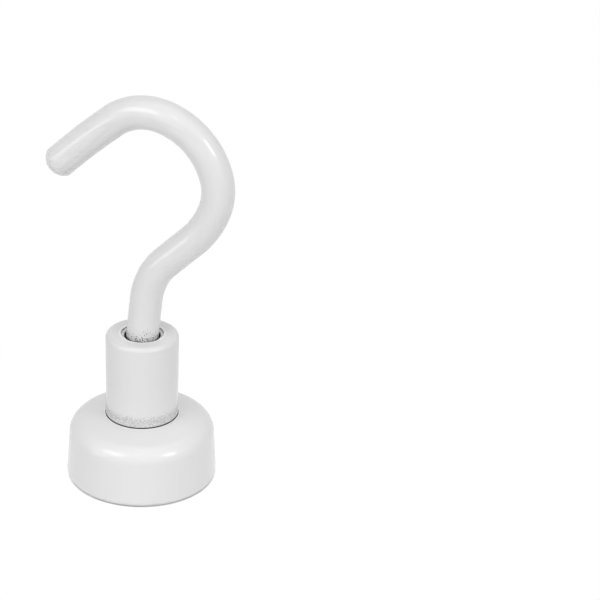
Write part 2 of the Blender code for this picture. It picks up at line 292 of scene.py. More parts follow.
class Stage(bpy.types.PropertyGroup):
    """Camera, lights and floor"""
    lens: FloatProperty(name="Lens", description="Focal length on a 36 mm sensor", default=119.615)
    turn: angle("Turn", "Camera's heading, from +Y towards -X", 16.043)
    tilt: angle("Tilt", "How far the camera looks down", 25.988)
    roll: angle("Roll", "Camera's roll", 2.479)
    ambient: amount("Ambient", "Level of the light from all round", 0.10)
    key: amount("Key", "Level of all the lamps together", 1.0)
    floor_bounce: amount("Floor bounce", "Share of the light that the floor throws back", 0.62)
    floor_diffuse: amount("Floor shade", "Share of the floor that takes shadow", 0.60)
    floor_glow: amount("Floor glow", "Share of the floor that stays white", 0.66)
    shade_reach: length("Shade reach", "How far from the hook the floor takes shadow", 0.040)
    contact_reach: length("Contact reach", "Width of the darkest floor at the pot's edge", 0.0004)


class HookSettings(bpy.types.PropertyGroup):
    """Everything a user would change"""
    pot: PointerProperty(type=PotSizes)
    collar: PointerProperty(type=CollarSizes)
    rod: PointerProperty(type=RodSizes)
    magnet: PointerProperty(type=MagnetSizes)
    fasteners: PointerProperty(type=FastenerSizes)
    finishes: PointerProperty(type=Finishes)
    stage: PointerProperty(type=Stage)


def start_point(name, r, z):
    """A new piece that is one point in the XZ plane, open in edit mode."""
    bpy.ops.object.select_all(action="DESELECT")
    bpy.ops.mesh.primitive_plane_add(size=CAD_BOX[1].y, location=ORIGIN)
    piece = bpy.context.object
    piece.name = name
    piece.data.name = name
    bpy.ops.object.mode_set(mode="EDIT")
    bpy.ops.mesh.select_all(action="SELECT")
    bpy.ops.mesh.merge(type="CENTER")
    bpy.ops.transform.translate(value=(r, 0.0, z))
    return piece


def pen(piece):
    """Middle of what is selected."""
    places = [vert.co for vert in bmesh.from_edit_mesh(piece.data).verts if vert.select]
    return sum(places, Vector()) / len(places)


def pick(piece, test):
    """Selects the points that pass a test, and the edges and faces between them."""
    bpy.ops.mesh.select_all(action="DESELECT")
    bm = bmesh.from_edit_mesh(piece.data)
    for vert in bm.verts:
        vert.select = test(vert.co)
    bm.select_flush(True)
    bmesh.update_edit_mesh(piece.data)


def line(piece, *points):
    """Draws straight on from the selected point through (r, z) points."""
    for r, z in points:
        move = Vector((r, 0.0, z)) - pen(piece)
        bpy.ops.mesh.extrude_vertices_move(TRANSFORM_OT_translate={"value": move})


def arc(centre, start, end, steps):
    """Draws on along an arc about an (r, z) centre. Angles run from +r towards +z."""
    bpy.ops.mesh.spin(
        steps=steps, angle=end - start, center=(centre[0], 0.0, centre[1]), axis=(0.0, 1.0, 0.0),
    )


def spin_round(piece, segments):
    """Turns the drawn section about Z and closes the solid."""
    bpy.ops.mesh.select_all(action="SELECT")
    bpy.ops.mesh.spin(steps=segments, angle=math.tau, center=ORIGIN, axis=UPWARDS)
    bpy.ops.mesh.select_all(action="SELECT")
    bpy.ops.mesh.remove_doubles(threshold=MERGE_DISTANCE)
    bpy.ops.mesh.normals_make_consistent(inside=False)


def finish_piece(piece, node, material):
    """Leaves edit mode, shades the piece and lets it stand for its CAD node."""
    if piece.mode == "EDIT":
        bpy.ops.object.mode_set(mode="OBJECT")
    bpy.ops.object.select_all(action="DESELECT")
    piece.select_set(True)
    bpy.context.view_layer.objects.active = piece
    bpy.ops.object.shade_smooth_by_angle(angle=SHARP_ANGLE)
    piece.data.materials.clear()
    piece.data.materials.append(material)
    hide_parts(node)
    for body, members in frame["record"]["behaviour"]["bodies"].items():
        if node in members:
            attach(piece, body)


class Wiring:
    """Adds nodes to a tree and joins their sockets."""

    def __init__(self, tree):
        self.tree = tree

    def node(self, kind, **settings):
        made = self.tree.nodes.new(kind)
        for key, value in settings.items():
            setattr(made, key, value)
        return made

    def join(self, value, socket):
        """Joins a node's output to a socket, or sets the socket to a plain value."""
        if isinstance(value, bpy.types.NodeSocket):
            self.tree.links.new(value, socket)
        else:
            socket.default_value = value

    def feed(self, made, **values):
        """Joins or sets inputs by name, with underscores for spaces."""
        for key, value in values.items():
            self.join(value, made.inputs[key.replace("_", " ")])
        return made

    def fill(self, made, *values):
        """Joins or sets inputs in their order, and gives the first output."""
        for socket, value in zip(made.inputs, values):
            self.join(value, socket)
        return made.outputs[0]

    def math(self, operation, *values, clamp=False):
        made = self.node("ShaderNodeMath", operation=operation, use_clamp=clamp)
        return self.fill(made, *values)

    def scaled(self, vector, factors):
        made = self.node("ShaderNodeVectorMath", operation="MULTIPLY")
        return self.fill(made, vector, factors)

    def reach(self, vector):
        made = self.node("ShaderNodeVectorMath", operation="LENGTH")
        self.fill(made, vector)
        return made.outputs["Value"]

    def noise(self, vector, scale, detail=2.0, roughness=0.5):
        made = self.node("ShaderNodeTexNoise")
        self.feed(made, Vector=vector, Scale=scale, Detail=detail, Roughness=roughness)
        return made.outputs["Fac"]

    def ramp(self, value, low, high, to_low=0.0, to_high=1.0):
        made = self.node("ShaderNodeMapRange", interpolation_type="SMOOTHSTEP")
        self.feed(made, Value=value, From_Min=low, From_Max=high, To_Min=to_low, To_Max=to_high)
        return made.outputs["Result"]

    def step(self, value, edge, before=0.0, after=1.0):
        return self.ramp(value, edge - MASK_EDGE, edge + MASK_EDGE, before, after)

    def mix(self, factor, first, second):
        made = self.node("ShaderNodeMix", data_type="RGBA")
        for index, value in ((0, factor), (6, first), (7, second)):
            self.join(value, made.inputs[index])
        return made.outputs[2]


def new_group(name, inputs, outputs):
    """A shader node group with named sockets, ready to be wired."""
    group = bpy.data.node_groups.new(name, "ShaderNodeTree")
    for label, kind, default in inputs:
        socket = group.interface.new_socket(label, in_out="INPUT", socket_type="NodeSocket" + kind)
        if default is not None:
            socket.default_value = default
    for label, kind in outputs:
        group.interface.new_socket(label, in_out="OUTPUT", socket_type="NodeSocket" + kind)
    wire = Wiring(group)
    entry = wire.node("NodeGroupInput")
    leave = wire.node("NodeGroupOutput")
    return group, wire, entry.outputs, leave.inputs


def coat_skin():
    """Powder coat: soft waves all over, and grains that thin out between two heights."""
    if "coat_skin" in bpy.data.node_groups:
        return bpy.data.node_groups["coat_skin"]
    group, wire, given, out = new_group(
        "coat_skin",
        (
            ("Vector", "Vector", None),
            ("Coat", "Color", (0.8, 0.8, 0.8, 1.0)),
            ("Roughness", "Float", 0.26),
            ("Peel Scale", "Float", 900.0),
            ("Peel Depth", "Float", MICRON),
            ("Overspray", "Color", (0.6, 0.6, 0.6, 1.0)),
            ("Grain Scale", "Float", 5000.0),
            ("Grain Depth", "Float", MICRON),
            ("Band Low", "Float", -1.0),
            ("Band High", "Float", -0.9),
            ("Grain Level", "Float", 0.5),
            ("Band Wander", "Float", 0.001),
        ),
        (("Color", "Color"), ("Roughness", "Float"), ("Height", "Float"), ("Wander", "Float")),
    )
    split = wire.feed(wire.node("ShaderNodeSeparateXYZ"), Vector=given["Vector"])
    peel = wire.noise(given["Vector"], given["Peel Scale"], 1.0)
    drift = wire.noise(given["Vector"], given["Peel Scale"], 3.0, 0.6)
    grain = wire.noise(given["Vector"], given["Grain Scale"], 1.0)
    wave = wire.math("SUBTRACT", drift, 0.5)
    pit = wire.math("SUBTRACT", grain, 0.5)
    spread = wire.math("ADD", wave, pit)
    wire.join(spread, out["Wander"])
    ragged = wire.math("MULTIPLY_ADD", spread, given["Band Wander"], split.outputs["Z"])
    band = wire.ramp(ragged, given["Band Low"], given["Band High"], 1.0, 0.0)
    thinned = wire.math("MULTIPLY_ADD", wire.math("SUBTRACT", band, 1.0), GRAIN_THINNING, grain)
    over = wire.math("SUBTRACT", thinned, given["Grain Level"])
    specks = wire.ramp(over, -GRAIN_EDGE, GRAIN_EDGE)
    specks = wire.math("MULTIPLY", specks, wire.ramp(band, 0.0, BAND_EDGE))
    wire.join(wire.mix(specks, given["Coat"], given["Overspray"]), out["Color"])
    rougher = wire.math("MULTIPLY_ADD", band, BAND_ROUGHNESS, given["Roughness"])
    wire.join(wire.math("MULTIPLY_ADD", wave, WAVE_ROUGHNESS, rougher), out["Roughness"])
    pits = wire.math("MULTIPLY", wire.math("MULTIPLY", pit, band), given["Grain Depth"])
    wire.join(wire.math("MULTIPLY_ADD", peel, given["Peel Depth"], pits), out["Height"])
    return group


def metal_skin():
    """Plated metal: a fine grain, soft mottling and a few brighter flecks."""
    if "metal_skin" in bpy.data.node_groups:
        return bpy.data.node_groups["metal_skin"]
    group, wire, given, out = new_group(
        "metal_skin",
        (
            ("Vector", "Vector", None),
            ("Metal", "Color", (0.6, 0.6, 0.6, 1.0)),
            ("Roughness", "Float", 0.35),
            ("Grain Scale", "Float", 6000.0),
            ("Grain Depth", "Float", MICRON),
            ("Mottle Scale", "Float", 400.0),
            ("Mottle", "Float", 0.1),
            ("Fleck", "Float", 0.25),
        ),
        (("Color", "Color"), ("Roughness", "Float"), ("Height", "Float")),
    )
    grain = wire.noise(given["Vector"], given["Grain Scale"], 2.0, 0.7)
    mottle = wire.noise(given["Vector"], given["Mottle Scale"], 4.0, 0.6)
    swing = wire.math("MULTIPLY", wire.math("SUBTRACT", mottle, 0.5), given["Mottle"])
    fleck = wire.math("MULTIPLY_ADD", wire.math("SUBTRACT", grain, 0.5), given["Fleck"], swing)
    shade = wire.node("ShaderNodeHueSaturation")
    wire.feed(shade, Color=given["Metal"], Value=wire.math("ADD", fleck, 1.0))
    wire.join(shade.outputs["Color"], out["Color"])
    rougher = wire.math("MULTIPLY_ADD", swing, MOTTLE_ROUGHNESS, given["Roughness"])
    wire.join(rougher, out["Roughness"])
    wire.join(wire.math("MULTIPLY", grain, given["Grain Depth"]), out["Height"])
    return group


def start_material(name):
    """A material with its Principled shader, its wiring and its object coordinates."""
    material = bpy.data.materials.new(name)
    material.use_nodes = True
    wire = Wiring(material.node_tree)
    shader = material.node_tree.nodes["Principled BSDF"]
    place = wire.node("ShaderNodeTexCoord").outputs["Object"]
    return material, wire, shader, place


def add_bump(wire, shader, height):
    bump = wire.feed(wire.node("ShaderNodeBump"), Height=height, Distance=1.0)
    wire.join(bump.outputs["Normal"], shader.inputs["Normal"])


def ring_mask(wire, place, wander, inner, outer, low, high, ragged=0.0):
    """1 between two radii round the Z axis and between two heights."""
    split = wire.feed(wire.node("ShaderNodeSeparateXYZ"), Vector=place)
    height = wire.math("MULTIPLY_ADD", wander, ragged, split.outputs["Z"])
    reach = wire.reach(wire.scaled(place, (1.0, 1.0, 0.0)))
    mask = wire.step(reach, outer, 1.0, 0.0)
    mask = wire.math("MULTIPLY", mask, wire.step(height, low))
    mask = wire.math("MULTIPLY", mask, wire.step(height, high, 1.0, 0.0))
    if inner:
        mask = wire.math("MULTIPLY", mask, wire.step(reach, inner))
    return mask


def grainy_band(kind, start):
    """Values for a band of grains, full up to its low height and gone at its high one."""
    looks = bpy.context.scene.magnetic_hook.finishes
    size, low, high, level, wander = (
        getattr(looks, f"{kind}_{part}") for part in ("size", "low", "high", "level", "wander")
    )
    return {
        "Band_Low": start + low, "Band_High": start + high, "Grain_Level": level,
        "Band_Wander": wander, "Grain_Scale": 1.0 / size, "Overspray": (*getattr(looks, kind), 1.0),
    }


def painted_reflection_lines(wire, place, spacing):
    """Painted reflection lines: fine lines along a rod that is bent in the XZ plane, each at about
    one Y.
    """
    stretched = wire.scaled(place, (LINE_STRETCH, 1.0, LINE_STRETCH))
    swing = wire.math("SUBTRACT", wire.noise(stretched, 1.0 / spacing, 1.0), 0.5)
    return wire.ramp(wire.math("ABSOLUTE", swing), 0.0, LINE_WIDTH, 1.0, 0.0)


def coat_material(name, shaded_hollows, highlight_rims=(), band=None, lines=False):
    """White powder coat with its grains and whiter rings of painted highlight, and dark steel,
    painted shade in the gaps and bores, where the coat doesn't reach.

    Shaded hollows and highlight rims are (inner radius, outer radius, lowest, highest), round the Z
    axis, and may end with how far their heights wander.
    """
    looks = bpy.context.scene.magnetic_hook.finishes
    material, wire, shader, place = start_material(name)
    skin = wire.node("ShaderNodeGroup", node_tree=coat_skin())
    wire.feed(
        skin, Vector=place, Coat=(*getattr(looks, name), 1.0), Roughness=looks.coat_roughness,
        Peel_Scale=1.0 / looks.peel_size, Peel_Depth=looks.peel_depth,
        Grain_Depth=looks.grain_depth, **(band or {}),
    )
    add_bump(wire, shader, skin.outputs["Height"])
    wander = skin.outputs["Wander"]
    tint = skin.outputs["Color"]
    if lines:
        # Painted reflection lines along the rod
        mask = painted_reflection_lines(wire, place, looks.line_spacing)
        share = wire.math("MULTIPLY", mask, looks.line_share)
        tint = wire.mix(share, tint, (*looks.painted_reflection_line, 1.0))
    for rim in highlight_rims:
        # Painted highlights: whiter rings of coat along edges
        tint = wire.mix(ring_mask(wire, place, wander, *rim), tint, (*looks.rim, 1.0))
    # Painted shade: dark steel in the gaps and bores, where the coat doesn't reach
    steel_shade_mask = ring_mask(wire, place, wander, *shaded_hollows[0])
    for shaded_hollow in shaded_hollows[1:]:
        steel_shade_mask = wire.math("MAXIMUM", steel_shade_mask, ring_mask(wire, place, wander, *shaded_hollow))
    wire.feed(
        shader, Base_Color=wire.mix(steel_shade_mask, tint, (*looks.spring_steel, 1.0)), Metallic=steel_shade_mask,
        Roughness=wire.math("MULTIPLY_ADD", steel_shade_mask, BARE_ROUGHNESS, skin.outputs["Roughness"]),
        Specular_IOR_Level=COAT_SPECULAR, Coat_Weight=looks.skin_share,
        Coat_Roughness=looks.skin_roughness,
    )
    return material


def metal_material(name):
    """One of the metals, with its grain and mottling."""
    tint = getattr(bpy.context.scene.magnetic_hook.finishes, name)
    roughness, grain_size, grain_depth, mottle_size, mottle, fleck = METALS[name]
    material, wire, shader, place = start_material(name)
    skin = wire.node("ShaderNodeGroup", node_tree=metal_skin())
    wire.feed(
        skin, Vector=place, Metal=(*tint, 1.0), Roughness=roughness, Grain_Scale=1.0 / grain_size,
        Grain_Depth=grain_depth, Mottle_Scale=1.0 / mottle_size, Mottle=mottle, Fleck=fleck,
    )
    wire.feed(
        shader, Base_Color=skin.outputs["Color"], Metallic=1.0, Roughness=skin.outputs["Roughness"],
    )
    add_bump(wire, shader, skin.outputs["Height"])
    return material


def glue_material():
    """Cured epoxy with soft flow marks."""
    looks = bpy.context.scene.magnetic_hook.finishes
    material, wire, shader, place = start_material("epoxy")
    flow = wire.noise(place, FLOW_SCALE, 3.0)
    marks = wire.ramp(flow, *FLOW_MARKS)
    wire.feed(
        shader, Base_Color=wire.mix(marks, (*looks.glue, 1.0), (*looks.glue_flow, 1.0)),
        Roughness=wire.ramp(flow, *FLOW_GLOSS),
    )
    add_bump(wire, shader, wire.math("MULTIPLY", flow, FLOW_DEPTH))
    return material


def shown_rays(wire):
    """1 where something is seen, mirrored or seen through, and 0 for light."""
    rays = wire.node("ShaderNodeLightPath").outputs
    shown = wire.math("ADD", rays["Is Camera Ray"], rays["Is Glossy Ray"], clamp=True)
    return wire.math("ADD", shown, rays["Is Transmission Ray"], clamp=True)


class MAGHOOK_OT_pot(bpy.types.Operator):
    """Turns the pot from its section"""
    bl_idname = "maghook.pot"
    bl_label = "Pot"

    # Reach of the dark steel, which is bare steel and painted shade, and of the painted highlight
    # ring
    coat_return = 0.00040
    recess_start = 0.00100
    highlight_rim_inset = 0.00003
    highlight_rim_width = 0.00015
    highlight_rim_reach = 0.00100

    def execute(self, context):
        sizes = context.scene.magnetic_hook.pot
        screw = context.scene.magnetic_hook.fasteners
        seat_radius = COLLAR_HIGH.x + sizes.seam
        seat_z = COLLAR_LOW.z - sizes.seat_gap
        ceiling = SCREW_LOW.z
        hole = screw.screw_radius + sizes.seat_gap
        sink = SCREW_HIGH.x + sizes.seat_gap
        foot = (sizes.radius - sizes.foot_round, sizes.foot_round)
        foot_top = foot[0] + sizes.foot_round * math.cos(sizes.draft)
        side_z = foot[1] + sizes.foot_round * math.sin(sizes.draft)
        side_r = foot_top - (sizes.side_top - side_z) * math.tan(sizes.draft)
        shoulder = (
            side_r - sizes.shoulder_round * math.cos(sizes.draft),
            sizes.side_top - sizes.shoulder_round * math.sin(sizes.draft),
        )
        crest_r = shoulder[0] + sizes.shoulder_round * math.sin(sizes.top_slope)
        crest_z = shoulder[1] + sizes.shoulder_round * math.cos(sizes.top_slope)
        lip_r = seat_radius + sizes.lip_round
        lip_top = crest_z + (crest_r - lip_r) * math.tan(sizes.top_slope)
        lip = (lip_r, lip_top - sizes.lip_round / math.cos(sizes.top_slope))
        rim = (sizes.pocket_radius + sizes.rim_round, sizes.rim_round)
        up = QUARTER_TURN - sizes.top_slope
        piece = start_point("pot_body", *foot)
        bpy.ops.transform.translate(value=(0.0, 0.0, -sizes.foot_round))
        arc(foot, -QUARTER_TURN, sizes.draft, FOOT_STEPS)
        line(piece, (side_r, sizes.side_top))
        arc(shoulder, sizes.draft, up, SHOULDER_STEPS)
        line(
            piece,
            (lip[0] + sizes.lip_round * math.cos(up), lip[1] + sizes.lip_round * math.sin(up)),
        )
        arc(lip, up, math.pi, EDGE_STEPS)
        line(
            piece, (seat_radius, seat_z), (hole, seat_z),
            (hole, ceiling + sizes.countersink_land + sink - hole),
            (sink, ceiling + sizes.countersink_land), (sink, ceiling),
            (sizes.pocket_radius, ceiling), (sizes.pocket_radius, rim[1]),
        )
        arc(rim, -math.pi, -QUARTER_TURN, EDGE_STEPS)
        line(piece, (foot[0], 0.0))
        spin_round(piece, sizes.segments)
        recess = ceiling + self.recess_start
        # Painted shade: dark steel in the magnet's pocket and under the collar's seat
        shaded_hollows = (
            (0.0, sizes.pocket_radius + 2 * MASK_MARGIN, self.coat_return, recess),
            (0.0, seat_radius + MASK_MARGIN, recess, POT_HIGH.z),
        )
        # Painted highlight: a whiter ring round the collar's seat
        highlight_inner = seat_radius + self.highlight_rim_inset
        highlight_rims = ((highlight_inner, highlight_inner + self.highlight_rim_width, seat_z, POT_HIGH.z + self.highlight_rim_reach),)
        finish_piece(piece, "pot", coat_material("pot_coat", shaded_hollows, highlight_rims))
        return {"FINISHED"}


class MAGHOOK_OT_collar(bpy.types.Operator):
    """Turns the collar from its section"""
    bl_idname = "maghook.collar"
    bl_label = "Collar"

    # Reach of the dark steel, which is bare steel and painted shade, and of the painted highlight
    # ring
    bore_margin = 0.00010
    shelf_margin = 0.00012
    wall_margin = 0.00005
    wall_top = 0.00013
    wall_wander = 0.00030
    highlight_rim_width = 0.00026
    highlight_rim_depth = 0.00010

    def execute(self, context):
        sizes = context.scene.magnetic_hook.collar
        gap = context.scene.magnetic_hook.pot.seat_gap
        ring_radius = RING_HIGH.y + gap
        bore = HOOK_HIGH.y + sizes.bore_clearance
        foot, top = COLLAR_LOW.z, COLLAR_HIGH.z
        edge = (sizes.radius - sizes.top_round, top - sizes.top_round)
        groove_top = POT_HIGH.z + sizes.groove_rise
        groove = (sizes.radius - sizes.groove_depth, groove_top - sizes.groove_depth)
        rim = (sizes.mouth_radius + sizes.mouth_round, top - sizes.mouth_round)
        shelf = top - sizes.mouth_depth
        step = (bore + sizes.mouth_round, shelf - sizes.mouth_round)
        fillet = (sizes.mouth_radius - sizes.mouth_round, shelf + sizes.mouth_round)
        piece = start_point("collar_sleeve", sizes.tapped_radius, foot)
        line(piece, (groove[0], foot), groove)
        line(
            piece, (sizes.radius - sizes.groove_edge, groove_top - sizes.groove_edge),
            (sizes.radius, groove_top), (sizes.radius, edge[1]),
        )
        arc(edge, 0.0, QUARTER_TURN, COLLAR_TOP_STEPS)
        line(piece, (rim[0], top))
        arc(rim, QUARTER_TURN, math.pi, EDGE_STEPS)
        line(piece, (sizes.mouth_radius, fillet[1]))
        arc(fillet, 0.0, -QUARTER_TURN, FILLET_STEPS)
        line(piece, (step[0], shelf))
        arc(step, QUARTER_TURN, math.pi, EDGE_STEPS)
        line(
            piece, (bore, RING_HIGH.z + gap), (ring_radius, RING_HIGH.z + gap),
            (ring_radius, RING_LOW.z - gap), (bore, RING_LOW.z - gap), (bore, foot + sizes.floor),
            (sizes.tapped_radius, foot + sizes.floor), (sizes.tapped_radius, foot),
        )
        spin_round(piece, sizes.segments)
        # Painted shade: dark steel in the bore and on the mouth step's wall; in the groove at the
        # foot it stands for the coat's crack at the seam and its shade
        shaded_hollows = (
            (0.0, bore + self.bore_margin, foot + sizes.floor / 2, shelf - self.shelf_margin),
            (0.0, sizes.radius - MASK_MARGIN, foot, groove_top),
            (
                sizes.mouth_radius - self.wall_margin, sizes.mouth_radius + self.wall_margin,
                shelf + 2 * MASK_MARGIN, top - self.wall_top, self.wall_wander,
            ),
        )
        # Painted highlight: a whiter ring along the mouth's edge
        highlight_rims = ((
            sizes.mouth_radius, sizes.mouth_radius + self.highlight_rim_width,
            top - self.highlight_rim_depth, top + 2 * self.highlight_rim_depth,
        ),)
        # Dark grains that get denser towards the collar's foot
        band = grainy_band("overspray", groove_top)
        material = coat_material("collar_coat", shaded_hollows, highlight_rims, band)
        finish_piece(piece, "collar", material)
        return {"FINISHED"}


class MAGHOOK_OT_rod(bpy.types.Operator):
    """Turns the shank, then bends the rod on from it and rounds its tip"""
    bl_idname = "maghook.rod"
    bl_label = "Hook rod"

    # Reach of the dark steel, which is bare steel and painted shade
    steel_shade_margin = 0.00020
    steel_shade_start = 0.00100
    steel_shade_end = 0.00040
    steel_shade_wander = 0.00050

    def execute(self, context):
        sizes = context.scene.magnetic_hook.rod
        gap = context.scene.magnetic_hook.pot.seat_gap
        radius, end = sizes.radius, HOOK_LOW.z
        groove = end + sizes.groove_start
        groove_top = groove + RING_HIGH.z - RING_LOW.z + 2 * gap
        bend_start = COLLAR_HIGH.z - sizes.bend_depth
        piece = start_point("hook_rod", 0.0, end)
        line(
            piece, (radius - sizes.chamfer, end), (radius, end + sizes.chamfer), (radius, groove),
            (radius - sizes.groove_depth, groove), (radius - sizes.groove_depth, groove_top),
            (radius, groove_top), (radius, bend_start),
        )
        spin_round(piece, sizes.segments)
        pick(piece, lambda place: place.z > bend_start - MICRON)
        place = Vector((0.0, 0.0, bend_start))
        heading = 0.0
        for straight, bend_radius, bend_angle in HOOK_BENDS:
            if straight:
                place = self.push(piece, heading, straight)
            side = heading + math.copysign(QUARTER_TURN, bend_angle)
            centre = place + self.along(side) * bend_radius
            steps = max(2, round(abs(bend_angle) / BEND_STEP))
            arc((centre.x, centre.z), 0.0, -bend_angle, steps)
            heading += bend_angle
            place = pen(piece)
        self.push(piece, heading, sizes.tail)
        self.round_tip(piece, heading, radius, radius + sizes.tip_flatness)
        bpy.ops.mesh.select_all(action="SELECT")
        bpy.ops.mesh.normals_make_consistent(inside=False)
        # Painted shade: dark steel on the shank from inside the bore to just below the collar's top
        shaded_hollows = ((
            0.0, radius + self.steel_shade_margin, end - self.steel_shade_start,
            COLLAR_HIGH.z - self.steel_shade_end, self.steel_shade_wander,
        ),)
        band = grainy_band("speck", COLLAR_HIGH.z)
        material = coat_material("hook_coat", shaded_hollows, band=band, lines=True)
        finish_piece(piece, "hook", material)
        return {"FINISHED"}

    def along(self, heading):
        """Direction in the XZ plane, measured from +Z towards +X."""
        return Vector((math.sin(heading), 0.0, math.cos(heading)))

    def push(self, piece, heading, distance):
        """Extrudes the selected ring straight on."""
        move = self.along(heading) * distance
        bpy.ops.mesh.extrude_edges_move(TRANSFORM_OT_translate={"value": move})
        return pen(piece)

    def round_tip(self, piece, heading, radius, dome_radius):
        """Closes the rod with a dome that starts at the selected ring."""
        edge = math.asin(radius / dome_radius)
        for k in range(1, TIP_STEPS):
            before = edge * (1 - (k - 1) / TIP_STEPS)
            after = edge * (1 - k / TIP_STEPS)
            self.push(piece, heading, dome_radius * (math.cos(after) - math.cos(before)))
            shrink = math.sin(after) / math.sin(before)
            bpy.ops.transform.resize(value=(shrink, shrink, shrink), center_override=pen(piece))
        self.push(piece, heading, dome_radius * (1 - math.cos(edge / TIP_STEPS)))
        bpy.ops.mesh.merge(type="CENTER")


class MAGHOOK_OT_magnet(bpy.types.Operator):
    """Turns the plated disc from its section"""
    bl_idname = "maghook.magnet"
    bl_label = "Magnet"

    def execute(self, context):
        sizes = context.scene.magnetic_hook.magnet
        inner, edge = sizes.radius - sizes.edge_round, sizes.edge_round
        piece = start_point("magnet_disc", 0.0, 0.0)
        line(piece, (inner, 0.0))
        arc((inner, edge), -QUARTER_TURN, 0.0, DISC_EDGE_STEPS)
        line(piece, (sizes.radius, sizes.thickness - edge))
        arc((inner, sizes.thickness - edge), 0.0, QUARTER_TURN, DISC_EDGE_STEPS)
        line(piece, (0.0, sizes.thickness))
        spin_round(piece, sizes.segments)
        finish_piece(piece, "magnet", metal_material("nickel_plate"))
        return {"FINISHED"}


class MAGHOOK_OT_bed(bpy.types.Operator):
    """Turns the adhesive bed and lets its edge flow unevenly"""
    bl_idname = "maghook.bed"
    bl_label = "Adhesive bed"

    def execute(self, context):
        sizes = context.scene.magnetic_hook.magnet
        radius, bottom, top = BED_HIGH.x, BED_LOW.z, BED_HIGH.z
        piece = start_point("adhesive_bed", 0.0, bottom)
        line(piece, (radius / 2, bottom), (radius - sizes.bed_round, bottom))
        arc((radius - sizes.bed_round, bottom + sizes.bed_round), -QUARTER_TURN, 0.0, EDGE_STEPS)
        line(piece, (radius, (bottom + top) / 2), (radius, top), (radius / 2, top), (0.0, top))
        spin_round(piece, sizes.segments)
        for vert in bmesh.from_edit_mesh(piece.data).verts:
            turn = math.atan2(vert.co.y, vert.co.x)
            waves = [math.sin(times * turn + phase) for times, phase in BED_WAVES]
            wave = sum(waves) / len(waves)
            if vert.co.xy.length > radius - 2 * sizes.bed_round:
                vert.co.xy *= 1 - sizes.bed_wave * (1 + wave) / 2 / radius
        bmesh.update_edit_mesh(piece.data)
        finish_piece(piece, "magnet_adhesive", glue_material())
        return {"FINISHED"}


class MAGHOOK_OT_screw(bpy.types.Operator):
    """Turns the screw, cuts its thread and its hex socket"""
    bl_idname = "maghook.screw"
    bl_label = "Clamp screw"

    def execute(self, context):
        sizes = context.scene.magnetic_hook.fasteners
        head, shank, bottom, top = SCREW_HIGH.x, sizes.screw_radius, SCREW_LOW.z, SCREW_HIGH.z
        neck = bottom + sizes.head_land + head - shank
        thread_end = top - sizes.tip_chamfer
        threaded = thread_end - neck
        runs = round(threaded / sizes.thread_pitch * THREAD_POINTS)
        piece = start_point("screw_body", 0.0, bottom)
        line(piece, (head, bottom), (head, bottom + sizes.head_land), (shank, neck))
        for k in range(1, runs + 1):
            line(piece, (shank, neck + threaded * k / runs))
        line(piece, (shank - sizes.tip_chamfer, top), (0.0, top))
        spin_round(piece, sizes.segments)
        self.cut_thread(piece, sizes, shank, neck, thread_end)
        bpy.ops.object.mode_set(mode="OBJECT")
        self.cut_socket(piece, sizes, bottom)
        finish_piece(piece, "clamp_screw", metal_material("zinc_plate"))
        return {"FINISHED"}

    def cut_thread(self, piece, sizes, shank, neck, tip):
        """Draws the shank's points in along a helix, fading out at the neck and the tip."""
        for vert in bmesh.from_edit_mesh(piece.data).verts:
            off = abs(vert.co.xy.length - shank)
            if off > MICRON or not neck <= vert.co.z <= tip + MICRON:
                continue
            turn = math.atan2(vert.co.y, vert.co.x) / math.tau
            from_neck = (vert.co.z - neck) / sizes.thread_pitch
            from_tip = (tip - vert.co.z) / sizes.thread_pitch
            depth = 1 - abs(2 * ((from_neck - turn) % 1.0) - 1)
            fade = min(1.0, from_neck, 2 * from_tip)
            vert.co.xy *= 1 - sizes.thread_depth * depth * max(0.0, fade) / shank
        bmesh.update_edit_mesh(piece.data)

    def cut_socket(self, piece, sizes, bottom):
        bpy.ops.object.select_all(action="DESELECT")
        bpy.ops.mesh.primitive_cylinder_add(
            vertices=6, radius=sizes.socket_flats / math.sqrt(3), depth=2 * sizes.socket_depth,
            location=(0.0, 0.0, bottom),
        )
        cutter = bpy.context.object
        bpy.context.view_layer.objects.active = piece
        modifier = piece.modifiers.new("Socket", "BOOLEAN")
        modifier.object = cutter
        modifier.solver = "EXACT"
        bpy.ops.object.modifier_apply(modifier=modifier.name)
        bpy.data.objects.remove(cutter, do_unlink=True)


class MAGHOOK_OT_ring(bpy.types.Operator):
    """Bends the open retaining ring from round wire"""
    bl_idname = "maghook.ring"
    bl_label = "Retaining ring"

    def execute(self, context):
        sizes = context.scene.magnetic_hook.fasteners
        radius = RING_HIGH.y - sizes.wire_radius
        height = (RING_LOW.z + RING_HIGH.z) / 2
        bpy.ops.object.select_all(action="DESELECT")
        bpy.ops.mesh.primitive_circle_add(
            vertices=WIRE_POINTS, radius=sizes.wire_radius, fill_type="NGON", location=ORIGIN,
        )
        piece = bpy.context.object
        piece.name = "snap_ring"
        piece.data.name = "snap_ring"
        place = Matrix.Rotation(sizes.split / 2, 4, "Z") @ Matrix.Translation((radius, 0.0, height))
        piece.data.transform(place @ Matrix.Rotation(QUARTER_TURN, 4, "X"))
        bpy.ops.object.mode_set(mode="EDIT")
        bpy.ops.mesh.select_mode(type="EDGE")
        bpy.ops.mesh.select_all(action="SELECT")
        bpy.ops.mesh.spin(
            steps=RING_STEPS, angle=sizes.split - math.tau, center=(0.0, 0.0, height),
            axis=UPWARDS,
        )
        bpy.ops.mesh.select_mode(type="VERT")
        bpy.ops.mesh.select_all(action="SELECT")
        bpy.ops.mesh.normals_make_consistent(inside=False)
        finish_piece(piece, "retaining_ring", metal_material("spring_steel"))
        return {"FINISHED"}


